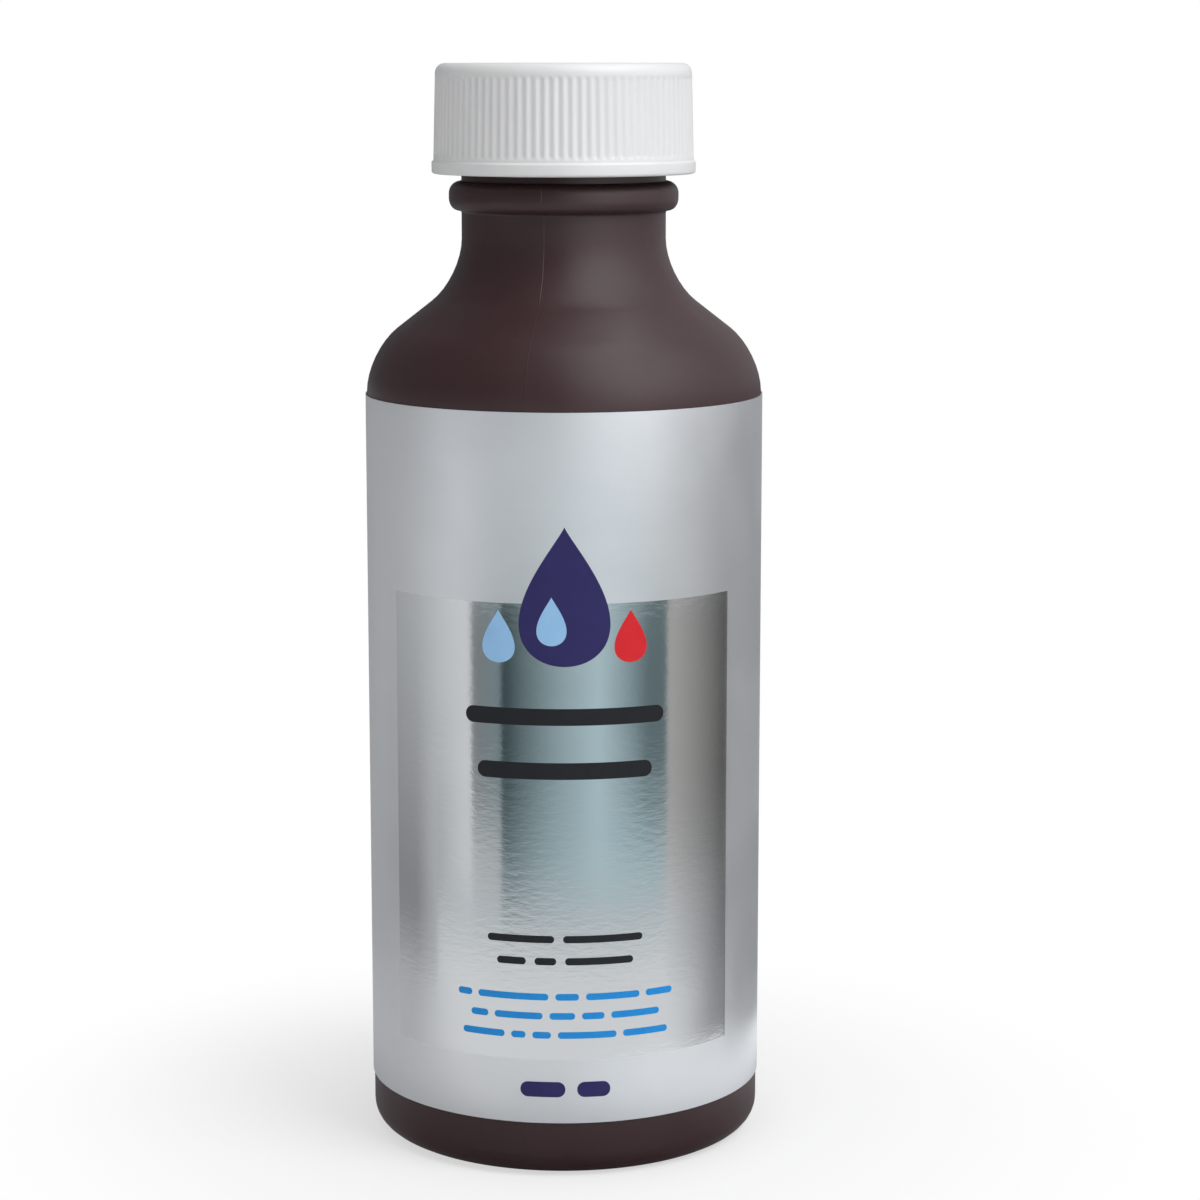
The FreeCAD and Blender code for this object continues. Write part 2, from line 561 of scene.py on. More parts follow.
@dataclass(frozen=True)
class LabelFilm:
    """Metallised film, bare or under a frosted ink."""

    name: str
    shade: Colour
    drift: Colour
    metallic: float
    roughness: float
    smeared: float
    ripple_scale: float
    ripple_depth: float
    ripple_stretch: Corner = (0.4, 1.0, 1.0)
    ripple_strength: float = 1.0
    handling_scale: float = 9.0

    def material(self, effects: Effects) -> Material:
        """Build the material.

        Args:
            effects: Shared shader groups.

        Returns:
            The material.
        """
        material, tree = new_material(self.name)
        flat = add(tree, "UVMap", uv_map=LABEL_MAP).outputs[0]
        ripple = effects.add_grain(tree, flat, self.ripple_stretch, self.ripple_scale)
        hands = effects.add_handling(tree, flat, self.handling_scale)
        bump = add(tree, "Bump", {
            "Strength": self.ripple_strength, "Distance": self.ripple_depth, "Height": ripple["Height"],
        })
        close_material(tree, add(tree, "BsdfPrincipled", {
            "Base Color": mixed(tree, ripple["Tone"], opaque(self.shade), opaque(self.drift)),
            "Metallic": self.metallic,
            "Roughness": ranged(tree, hands, self.roughness, self.smeared),
            "Normal": bump.outputs["Normal"],
        }))
        return material


@dataclass(frozen=True)
class PrintInk:
    """Satin printing ink with a slightly uneven lay."""

    name: str
    shade: Colour
    drift: Colour
    smooth: float = 0.42
    rough: float = 0.55
    grain_scale: float = 4000.0
    grain_stretch: Corner = (1.0, 1.0, 1.0)
    refraction: float = 1.35

    def material(self, effects: Effects) -> Material:
        """Build the material.

        Args:
            effects: Shared shader groups.

        Returns:
            The material.
        """
        material, tree = new_material(self.name)
        grain = effects.add_grain(tree, placed(tree), self.grain_stretch, self.grain_scale)
        close_material(tree, add(tree, "BsdfPrincipled", {
            "Base Color": mixed(tree, grain["Tone"], opaque(self.shade), opaque(self.drift)),
            "Roughness": ranged(tree, grain["Height"], self.smooth, self.rough),
            "IOR": self.refraction,
        }))
        return material


# Sub-assemblies

@dataclass
class Thread:
    """Helical ridge of the closure's screw."""

    root: float
    crest: float
    root_height: float
    crest_height: float
    start_height: float
    start_angle: float
    turns: float
    pitch: float = 3.175 * MM
    run_out: float = math.radians(50)
    rounding_share: float = 0.2
    rounding_steps: int = 3
    steps_per_turn: int = 96

    def mesh(self) -> BMesh:
        """Sweep the ridge's section up the helix and fade both ends into the root.

        Returns:
            A closed ridge.
        """
        bm = bmesh.new()
        section = [
            (self.root, -self.root_height / 2),
            (self.crest, -self.crest_height / 2),
            (self.crest, self.crest_height / 2),
            (self.root, self.root_height / 2),
        ]
        corners = [bm.verts.new((radius, 0, height)) for radius, height in section]
        bm.faces.new(corners)
        rounding = abs(self.crest - self.root) * self.rounding_share
        rounded(bm, corners[1:3], rounding, self.rounding_steps, clamp=True)
        steps = round(self.steps_per_turn * self.turns)
        spin(bm, math.tau * self.turns, steps, self.pitch * self.turns / steps)
        close_holes(bm)
        self._fade(bm)
        rotate(bm, bm.verts[:], self.start_angle)
        bmesh.ops.translate(bm, verts=bm.verts[:], vec=(0, 0, self.start_height))
        face_outwards(bm)
        return bm

    def _fade(self, bm: BMesh) -> None:
        """Draw the ends of the ridge into its root.

        Args:
            bm: Ridge that starts at angle 0 and height 0.
        """
        whole = math.tau * self.turns
        for vert in bm.verts:
            turn = math.atan2(vert.co.y, vert.co.x)
            expected = math.tau * vert.co.z / self.pitch
            along = turn + math.tau * round((expected - turn) / math.tau)
            near_end = min(along, whole - along)
            reach = math.hypot(vert.co.x, vert.co.y)
            kept = self.root + (reach - self.root) * smoothstep(0, self.run_out, near_end)
            vert.co.x *= kept / reach
            vert.co.y *= kept / reach


@dataclass
class Bottle:
    """Blow-moulded bottle, with its screw thread, mould lines and pinch-off."""

    wall: float = 0.9 * MM
    base_corner: float = 2.5 * MM
    standing_ring: float = 2.2 * MM
    push_up: float = 1.8 * MM
    push_up_run: float = 4.5 * MM
    push_up_round: float = 5.0 * MM
    ring_round: float = 1.5 * MM
    shoulder_edge: float = 82.5 * MM
    shoulder_rise: float = 7.75 * MM
    shoulder_round: float = 8.2 * MM
    shoulder_hollow: float = 8.2 * MM
    neck_radius: float = 10.55 * MM
    neck_wall: float = 1.45 * MM
    bead_height: float = 3.0 * MM
    bead_projection: float = 1.3 * MM
    bead_round: float = 1.25 * MM
    finish_height: float = 9.85 * MM
    lip_round: float = 0.45 * MM
    joint_round: float = 0.3 * MM
    thread_depth: float = 1.15 * MM
    thread_sink: float = 0.05 * MM
    thread_root: float = 1.7 * MM
    thread_crest: float = 0.7 * MM
    thread_drop: float = 6.4 * MM
    thread_angle: float = math.radians(-70)
    thread_turns: float = 1.5
    mould_line_angle: float = math.radians(-11)
    mould_line_spread: float = math.radians(0.55)
    mould_line_height: float = 0.025 * MM
    mould_line_sink: float = 0.02 * MM
    mould_line_foot: float = 0.5 * MM
    pinch_length: float = 17.0 * MM
    pinch_width: float = 0.8 * MM
    pinch_height: float = 0.5 * MM
    pinch_round: float = 0.2 * MM
    pinch_steps: int = 3
    steps: int = 192
    rounding_steps: int = 8

    def __post_init__(self) -> None:
        """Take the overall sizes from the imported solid."""
        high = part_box("bottle")[1]
        self.radius = high.x
        self.lip = high.z
        self.bead_top = self.lip - self.finish_height
        self.bead_bottom = self.bead_top - self.bead_height
        self.ring = self.radius - self.base_corner - self.standing_ring

    def outside(self) -> list[Corner]:
        """List the corners of the outer profile.

        Returns:
            The corners from the base's middle to the lip.
        """
        bead = self.neck_radius + self.bead_projection
        return [
            (0, self.push_up, 0),
            (self.ring - self.push_up_run, self.push_up, self.push_up_round),
            (self.ring, 0, self.ring_round),
            (self.radius, 0, self.base_corner),
            (self.radius, self.shoulder_edge, self.shoulder_round),
            (self.neck_radius, self.shoulder_edge + self.shoulder_rise, self.shoulder_hollow),
            (self.neck_radius, self.bead_bottom, self.joint_round),
            (bead, self.bead_bottom, self.bead_round),
            (bead, self.bead_top, self.bead_round),
            (self.neck_radius, self.bead_top, self.joint_round),
            (self.neck_radius, self.lip, self.lip_round),
        ]

    def inside(self) -> list[Corner]:
        """List the corners of the inner profile.

        Returns:
            The corners from the lip to the base's middle.
        """
        turn = math.atan2(self.radius - self.neck_radius, self.shoulder_rise)
        mouth = self.neck_radius - self.neck_wall
        room = self.radius - self.wall
        edge = self.shoulder_edge - self.wall * math.tan(turn / 2)
        return [
            (mouth, self.lip, self.lip_round),
            (mouth, edge + (room - mouth) / math.tan(turn), self.shoulder_hollow + self.neck_wall),
            (room, edge, self.shoulder_round - self.wall),
            (room, self.wall, self.base_corner - self.wall),
            (self.ring, self.wall, self.ring_round),
            (self.ring - self.push_up_run, self.push_up + self.wall, self.push_up_round),
            (0, self.push_up + self.wall, 0),
        ]

    def mould_line_mesh(self) -> BMesh:
        """Make the two fine ridges where the mould's halves met, and the pinch-off below the base.

        Returns:
            Both ridges and the pinch-off.
        """
        lip_edge = (self.neck_radius, self.lip - self.lip_round, 0)
        bm = profile_wire([*self.outside()[2:-1], lip_edge], self.rounding_steps)
        below = [vert for vert in bm.verts if vert.co.z < self.mould_line_foot]
        bmesh.ops.delete(bm, geom=below, context="VERTS")
        rotate(bm, bm.verts[:], self.mould_line_angle - self.mould_line_spread - math.pi / 2)
        spin(bm, 2 * self.mould_line_spread, 2)
        face_outwards(bm)
        bm.normal_update()
        for vert in bm.verts:
            outward = vert.normal.copy()
            if outward.dot(Vector((vert.co.x, vert.co.y, 0))) < 0:
                outward.negate()
            vert.co += outward * (-self.mould_line_sink if vert.is_boundary else self.mould_line_height)
        close_holes(bm)
        twin = bmesh.ops.duplicate(bm, geom=everything(bm))["geom"]
        rotate(bm, [item for item in twin if isinstance(item, BMVert)], math.pi)
        bmesh.ops.triangulate(bm, faces=[face for face in bm.faces if len(face.verts) > 4])
        self._add_pinch(bm)
        face_outwards(bm)
        return bm

    def _add_pinch(self, bm: BMesh) -> None:
        """Add the welded bar that the closing mould leaves across the base.

        Args:
            bm: Mesh that takes it.
        """
        bar = bmesh.ops.create_cube(bm, size=1.0)["verts"]
        bmesh.ops.scale(bm, verts=bar, vec=(self.pinch_width, self.pinch_length, self.pinch_height))
        edges = list({edge for vert in bar for edge in vert.link_edges})
        made = rounded(bm, edges, self.pinch_round, self.pinch_steps, affect="EDGES", clamp=True)
        verts = list({vert for face in made["faces"] for vert in face.verts})
        rotate(bm, verts, self.mould_line_angle)
        bmesh.ops.translate(bm, verts=verts, vec=(0, 0, self.push_up))

    def thread(self) -> Thread:
        """Give the screw ridge round the finish."""
        return Thread(
            root=self.neck_radius - self.thread_sink, crest=self.neck_radius + self.thread_depth,
            root_height=self.thread_root, crest_height=self.thread_crest,
            start_height=self.lip - self.thread_drop, start_angle=self.thread_angle,
            turns=self.thread_turns,
        )

    def build(self, effects: Effects) -> None:
        """Build and dress the bottle.

        Args:
            effects: Shared shader groups.
        """
        brown = MouldedPlastic(
            name="brown_polyethylene", shade=(0.040, 0.0160, 0.0180), drift=(0.045, 0.0185, 0.0205),
            roughness=0.44, polished=0.38, grain_scale=2600.0, grain_stretch=(1.0, 1.0, 0.6),
            grain_depth=0.012 * MM,
        ).material(effects)
        shell = turned(self.outside() + self.inside(), self.steps, self.rounding_steps)
        make_piece("bottle_shell", shell, Body.BOTTLE, [brown], "bottle")
        make_piece("neck_thread", self.thread().mesh(), Body.BOTTLE, [brown])
        make_piece("mould_lines", self.mould_line_mesh(), Body.BOTTLE, [brown])


@dataclass
class ScrewCap:
    """Injection-moulded cap with fine grip flutes and its inside thread."""

    wall: float = 1.35 * MM
    draft: float = 0.25 * MM
    top: float = 1.2 * MM
    edge_round: float = 1.0 * MM
    edge_ease: float = 0.1 * MM
    rim_height: float = 1.4 * MM
    rim_step: float = 0.2 * MM
    rim_round: float = 0.3 * MM
    lead_in: float = 0.5 * MM
    retainer_projection: float = 0.5 * MM
    retainer_height: float = 0.6 * MM
    retainer_drop: float = 1.1 * MM
    retainer_round: float = 0.15 * MM
    flute_count: int = 90
    flute_depth: float = 0.15 * MM
    flute_margin: float = 0.15 * MM
    flute_run_out: float = 0.6 * MM
    crest_tolerance: float = 0.01 * MM
    run_out_rows: int = 6
    gate_radius: float = 1.3 * MM
    gate_depth: float = 0.12 * MM
    gate_round: float = 0.05 * MM
    thread_depth: float = 1.1 * MM
    thread_sink: float = 0.05 * MM
    thread_root: float = 1.6 * MM
    thread_crest: float = 0.6 * MM
    thread_turns: float = 1.25
    thread_lag: float = math.tau / 4
    steps_per_flute: int = 6
    rounding_steps: int = 6

    def __post_init__(self) -> None:
        """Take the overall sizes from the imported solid."""
        low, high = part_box("cap")
        self.bottom = low.z
        self.height_top = high.z
        self.rim = high.x
        self.crest = self.rim - self.rim_step
        self.bore = self.crest - self.wall
        self.rim_top = self.bottom + self.rim_height
        self.flute_bottom = self.rim_top + self.flute_margin
        self.flute_top = self.height_top - self.edge_round - self.flute_margin

    def crest_at(self, height: float) -> float:
        """Give the radius of the crests at a height, as the draft draws them in towards the top."""
        return self.crest - self.draft * (height - self.rim_top) / (self.height_top - self.rim_top)

    def corners(self) -> list[Corner]:
        """List the corners of the cap's profile.

        Returns:
            The corners from the gate mark round to the seat of the liner.
        """
        seat = self.height_top - self.top
        ridge = seat - self.retainer_drop - self.retainer_height / 2
        rows = self.run_out_rows
        run = self.flute_run_out / rows
        upper = [self.flute_top - i * run for i in range(rows + 1)]
        lower = [self.flute_bottom + i * run for i in reversed(range(rows + 1))]
        return [
            (0, self.height_top - self.gate_depth, 0),
            (self.gate_radius - self.gate_depth, self.height_top - self.gate_depth, self.gate_round),
            (self.gate_radius, self.height_top, self.gate_round),
            (self.crest_at(self.height_top), self.height_top, self.edge_round),
            *((self.crest_at(height), height, 0) for height in upper + lower),
            (self.crest, self.rim_top, self.edge_ease),
            (self.rim, self.rim_top - self.rim_step, self.edge_ease),
            (self.rim, self.bottom, self.rim_round),
            (self.bore + self.lead_in, self.bottom, self.edge_ease),
            (self.bore, self.bottom + self.lead_in, self.edge_ease),
            (self.bore, ridge - self.retainer_height / 2, 0),
            (self.bore - self.retainer_projection, ridge, self.retainer_round),
            (self.bore, ridge + self.retainer_height / 2, 0),
            (self.bore, seat, 0),
            (0, seat, 0),
        ]

    def shell(self) -> BMesh:
        """Turn the cap and press the flutes into its wall.

        Returns:
            The closed cap, with the depth in the flutes as an attribute.
        """
        bm = turned(self.corners(), self.flute_count * self.steps_per_flute, self.rounding_steps)
        layer = bm.verts.layers.float.new(GROOVE)
        for vert in bm.verts:
            reach = math.hypot(vert.co.x, vert.co.y)
            if abs(reach - self.crest_at(vert.co.z)) > self.crest_tolerance:
                continue
            ends = min(vert.co.z - self.flute_bottom, self.flute_top - vert.co.z)
            phase = math.atan2(vert.co.y, vert.co.x) * self.flute_count
            share = (0.5 + 0.5 * math.cos(phase)) * smoothstep(0, self.flute_run_out, ends)
            vert[layer] = share
            vert.co.xy *= 1 - share * self.flute_depth / reach
        return bm

    def thread(self, neck: Thread) -> Thread:
        """Give the inside ridge that runs under the neck's.

        Args:
            neck: The ridge that it meets.

        Returns:
            The cap's ridge, half a pitch below and lagging behind it.
        """
        return Thread(
            root=self.bore + self.thread_sink, crest=self.bore - self.thread_depth,
            root_height=self.thread_root, crest_height=self.thread_crest,
            start_height=neck.start_height - neck.pitch / 2 + neck.pitch * self.thread_lag / math.tau,
            start_angle=neck.start_angle + self.thread_lag, turns=self.thread_turns,
        )

    def build(self, effects: Effects, neck: Thread) -> None:
        """Build and dress the cap.

        Args:
            effects: Shared shader groups.
            neck: Ridge round the bottle's finish.
        """
        white = MouldedPlastic(
            name="white_polypropylene", shade=(0.78, 0.785, 0.795), drift=(0.81, 0.812, 0.818),
            roughness=0.42, polished=0.34, grain_scale=3000.0, grain_depth=0.006 * MM,
            # The flute grooves get a painted shade, a little darker than the crests.
            painted_groove_shade=(0.765, 0.77, 0.78),
        ).material(effects)
        make_piece("cap_shell", self.shell(), Body.CAP, [white], "cap")
        make_piece("cap_thread", self.thread(neck).mesh(), Body.CAP, [white])


@dataclass
class CapLiner:
    """Foam disc inside the cap, with the ring that the lip has pressed into it."""

    bite: float = 0.1 * MM
    bite_clearance: float = 0.1 * MM
    bite_round: float = 0.03 * MM
    edge_round: float = 0.15 * MM
    steps: int = 128
    rounding_steps: int = 4

    def build(self, effects: Effects, bottle: Bottle) -> None:
        """Build and dress the liner.

        Args:
            effects: Shared shader groups.
            bottle: Bottle whose lip it seals.
        """
        low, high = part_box("cap_liner")
        inner = bottle.neck_radius - bottle.neck_wall - self.bite_clearance
        outer = bottle.neck_radius + self.bite_clearance
        liner = turned([
            (0, low.z, 0),
            (inner, low.z, self.bite_round),
            (inner, low.z + self.bite, self.bite_round),
            (outer, low.z + self.bite, self.bite_round),
            (outer, low.z, self.bite_round),
            (high.x, low.z, self.edge_round),
            (high.x, high.z, self.edge_round),
            (0, high.z, 0),
        ], self.steps, self.rounding_steps)
        foam = MouldedPlastic(
            name="white_foam", shade=(0.78, 0.775, 0.75), drift=(0.84, 0.835, 0.82),
            roughness=0.75, polished=0.65, grain_scale=5200.0, grain_depth=0.05 * MM,
        ).material(effects)
        make_piece("liner_disc", liner, Body.LINER, [foam], "cap_liner")


class Print(Enum):
    """Inks on the label, with their two close shades."""

    BLACK = ((0.008, 0.009, 0.012), (0.014, 0.015, 0.02))
    NAVY = ((0.018, 0.014, 0.10), (0.026, 0.02, 0.13))
    BLUE = ((0.0, 0.24, 0.68), (0.01, 0.29, 0.74))
    PALE = ((0.27, 0.52, 0.83), (0.33, 0.58, 0.87))
    RED = ((0.66, 0.004, 0.010), (0.74, 0.008, 0.018))


@dataclass(frozen=True)
class Row:
    """Row of plain bars, centred on its x."""

    ink: Print
    height: float
    thickness: float
    bars: tuple[float, ...]
    gap: float = 0.9 * MM
    x: float = 0.0


@dataclass(frozen=True)
class Paragraph:
    """Block of small rows on a side of the label, under a heavier row."""

    x: float
    top: float
    lines: int
    width: float = 21.0 * MM
    pitch: float = 1.9 * MM
    gap: float = 0.8 * MM
    thickness: float = 0.55 * MM
    head_share: float = 0.45
    head_thickness: float = 1.1 * MM
    head_gap: float = 0.4 * MM
    last_share: float = 0.5
    lengths: tuple[float, ...] = mm(3.1, 1.7, 4.2, 2.4, 1.3, 3.6, 2.0, 4.8, 1.5, 2.8, 3.4)
    shortest: float = 1.7 * MM

    def rows(self) -> list[Row]:
        """Fill the lines from the left with a repeating run of bars, the last line in part.

        Returns:
            The heavier row and the lines below it.
        """
        left = self.x - self.width / 2
        head = self.head_share * self.width
        made = [Row(Print.NAVY, self.top, self.head_thickness, (head,), x=left + head / 2)]
        lengths = cycle(self.lengths)
        for line in range(1, self.lines + 1):
            room = self.width * (self.last_share if line == self.lines else 1.0)
            bars: list[float] = []
            while room > self.shortest:
                bars.append(min(next(lengths), room))
                room -= bars[-1] + self.gap
            reach = sum(bars) + self.gap * (len(bars) - 1)
            height = self.top - self.head_gap - line * self.pitch
            made.append(Row(Print.BLACK, height, self.thickness, tuple(bars), self.gap, left + reach / 2))
        return made


@dataclass(frozen=True)
class Drop:
    """Plain drop shape, by the centre of its round part."""

    ink: Print
    x: float
    height: float
    radius: float
    tip: float
    layer: int = 0
    fullness: float = 1.375
    taper: float = 0.65
    steps: int = 72


@dataclass
class WrapLabel:
    """Silver label round the body: frosted film with a bare window, and plain printed shapes."""

    seam: float = 5.0 * MM
    corner: float = 1.5 * MM
    corner_steps: int = 6
    thickness: float = 0.1 * MM
    strip: float = 0.7 * MM
    window_left: float = -20.15 * MM
    window_right: float = 19.2 * MM
    window_bottom: float = 12.5 * MM
    window_top: float = 59.3 * MM
    ink_rise: float = 0.012 * MM
    ink_strip: float = 0.5 * MM
    bar_round_share: float = 0.48

    rows: tuple[Row, ...] = (
        Row(Print.BLACK, 47.9 * MM, 1.7 * MM, mm(20.6)),
        Row(Print.BLACK, 42.4 * MM, 1.7 * MM, mm(18.0)),
        Row(Print.BLACK, 25.1 * MM, 0.75 * MM, mm(6.9, 8.2)),
        Row(Print.BLACK, 22.8 * MM, 0.75 * MM, mm(3.0, 2.2, 7.0)),
        Row(Print.BLUE, 19.1 * MM, 0.7 * MM, mm(1.6, 7.4, 2.4, 5.6, 3.0), 0.7 * MM),
        Row(Print.BLUE, 17.1 * MM, 0.7 * MM, mm(1.9, 5.0, 2.6, 2.3, 5.2), 0.7 * MM),
        Row(Print.BLUE, 15.1 * MM, 0.7 * MM, mm(4.6, 1.5, 1.9, 6.0, 4.9), 0.7 * MM),
        Row(Print.NAVY, 9.4 * MM, 1.6 * MM, mm(4.6, 3.4), 1.2 * MM),
    )
    drops: tuple[Drop, ...] = (
        Drop(Print.NAVY, *mm(0.0, 57.6, 4.6, 9.4)),
        Drop(Print.RED, *mm(6.7, 55.0, 1.7, 3.6)),
        Drop(Print.PALE, *mm(-6.7, 55.0, 1.7, 3.6)),
        Drop(Print.PALE, *mm(-1.3, 56.6, 1.5, 3.4), layer=1),
    )
    paragraphs: tuple[Paragraph, ...] = (
        Paragraph(*mm(-48.0, 70.0), 7),
        Paragraph(*mm(-48.0, 49.0), 5),
        Paragraph(*mm(-48.0, 32.0), 8),
        Paragraph(*mm(48.0, 70.0), 6),
        Paragraph(*mm(48.0, 51.0), 9),
    )

    def __post_init__(self) -> None:
        """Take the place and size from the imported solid."""
        low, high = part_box("label")
        self.radius = high.x
        self.bottom = low.z
        self.top = high.z
        self.length = math.tau * self.radius - self.seam

    def sheet(self) -> BMesh:
        """Cut the film flat, mark its bare window, give it its thickness and wrap it.

        Returns:
            The wrapped film, with the window's faces in the second slot.
        """
        bm = bmesh.new()
        corners = flat_panel(bm, (0, (self.bottom + self.top) / 2), (self.length, self.top - self.bottom))
        rounded(bm, corners, self.corner, self.corner_steps)
        for x in (self.window_left, self.window_right):
            cut(bm, (x, 0, 0), (1, 0, 0))
        for z in (self.window_bottom, self.window_top):
            cut(bm, (0, 0, z), (0, 0, 1))
        slice_upright(bm, self.strip)
        for face in bm.faces:
            middle = face.calc_center_median()
            across = self.window_left < middle.x < self.window_right
            upright = self.window_bottom < middle.z < self.window_top
            face.material_index = 1 if across and upright else 0
        thicken(bm, 0.0, self.thickness)
        layer = bm.loops.layers.uv.new(LABEL_MAP)
        for face in bm.faces:
            for loop in face.loops:
                place = loop.vert.co
                loop[layer].uv = (place.x / self.length + 0.5, (place.z - self.bottom) / self.length)
        bend(bm, self.radius)
        return bm

    def ink(self, ink: Print) -> BMesh:
        """Lay all shapes of one ink flat and wrap them.

        Args:
            ink: Ink to lay.

        Returns:
            Thin closed patches on the film.
        """
        whole = bmesh.new()
        small = [row for paragraph in self.paragraphs for row in paragraph.rows()]
        for row in (row for row in [*self.rows, *small] if row.ink is ink):
            self._wrap_into(whole, self._row(row), 0)
        for drop in (drop for drop in self.drops if drop.ink is ink):
            self._wrap_into(whole, self._drop(drop), drop.layer)
        return whole

    def _wrap_into(self, whole: BMesh, flat: BMesh, layer: int) -> None:
        """Thicken and bend flat shapes, and add them to a mesh.

        Args:
            whole: Mesh that takes them.
            flat: Flat shapes, which are freed.
            layer: How many inks lie below them.
        """
        slice_upright(flat, self.ink_strip)
        thicken(flat, self.ink_rise * (layer + 1), self.ink_rise / 2)
        bend(flat, self.radius)
        mesh = bpy.data.meshes.new("ink_patch")
        flat.to_mesh(mesh)
        flat.free()
        whole.from_mesh(mesh)
        bpy.data.meshes.remove(mesh)

    def _row(self, row: Row) -> BMesh:
        """Draw a row of bars with round ends.

        Args:
            row: The row, which is centred on its x.

        Returns:
            The flat bars.
        """
        bm = bmesh.new()
        left = row.x - (sum(row.bars) + row.gap * (len(row.bars) - 1)) / 2
        for width in row.bars:
            corners = flat_panel(bm, (left + width / 2, row.height), (width, row.thickness))
            rounded(bm, corners, self.bar_round_share * row.thickness, self.corner_steps)
            left += width + row.gap
        return bm

    @staticmethod
    def _drop(drop: Drop) -> BMesh:
        """Draw a drop, as a circle that is drawn in towards its tip.

        Args:
            drop: Its place and size.

        Returns:
            The flat drop.
        """
        bm = bmesh.new()
        bmesh.ops.create_circle(bm, cap_ends=True, radius=1.0, segments=drop.steps)
        half = (drop.tip + drop.radius) / 2
        for vert in bm.verts:
            across, up = vert.co.x, vert.co.y
            across *= drop.fullness * max((1 - up) / 2, 0.0) ** drop.taper
            vert.co = (drop.x + across * drop.radius, 0, drop.height + drop.tip + (up - 1) * half)
        return bm

    def build(self, effects: Effects) -> None:
        """Build and dress the label and its print.

        Args:
            effects: Shared shader groups.
        """
        frosted = LabelFilm(
            name="frosted_film", shade=(0.75, 0.77, 0.795), drift=(0.79, 0.81, 0.83), metallic=0.85,
            roughness=0.34, smeared=0.40, ripple_scale=260.0, ripple_depth=0.01 * MM,
        ).material(effects)
        bare = LabelFilm(
            name="bare_foil", shade=(0.71, 0.735, 0.75), drift=(0.76, 0.78, 0.79), metallic=1.0,
            roughness=0.12, smeared=0.17, ripple_scale=215.0, ripple_depth=0.014 * MM,
        ).material(effects)
        make_piece("label_film", self.sheet(), Body.BOTTLE, [frosted, bare], "label")
        for ink in Print:
            name = f"ink_{ink.name.lower()}"
            colour = PrintInk(name, *ink.value).material(effects)
            make_piece(name, self.ink(ink), Body.BOTTLE, [colour])


# Studio

def grey(level: float, tint: float = 0.03) -> Colour:
    """Give a grey whose blue is tinted by a share of its level."""
    return (level, level * (1 + tint / 3), level * (1 + tint))


def teal(level: float) -> Colour:
    """Give a grey-green blue with the given red."""
    return tuple(level * gain + lift for gain, lift in zip(TEAL_GAIN, TEAL_LIFT))


@dataclass(frozen=True)
class Card:
    """Upright card round the bottle that the bare foil mirrors, in degrees to the right of the front."""

    name: str
    left: float
    right: float
    tone: Colour
    right_tone: Colour
    distance: float = 0.13
    foot: tuple[Colour, Colour] | None = None
    foot_height: float = 0.05
    bottom: float = 0.0
    top: float = 0.078


def band_card(name: str, left: float, right: float, tone: Colour, right_tone: Colour) -> Card:
    """Give a card for the frosted film above the window."""
    return Card(name, left, right, tone, right_tone, 0.125, bottom=0.047)


def upper_card(name: str, left: float, right: float, tone: Colour, right_tone: Colour) -> Card:
    """Give a card above the others for the shoulder, neck and cap."""
    return Card(name, left, right, tone, right_tone, 0.12, bottom=0.078, top=0.3)


@dataclass(frozen=True)
class Lamp:
    """Soft square lamp that points at the bottle, with its angles in degrees."""

    name: str
    azimuth: float
    elevation: float
    distance: float
    size: float
    power: float


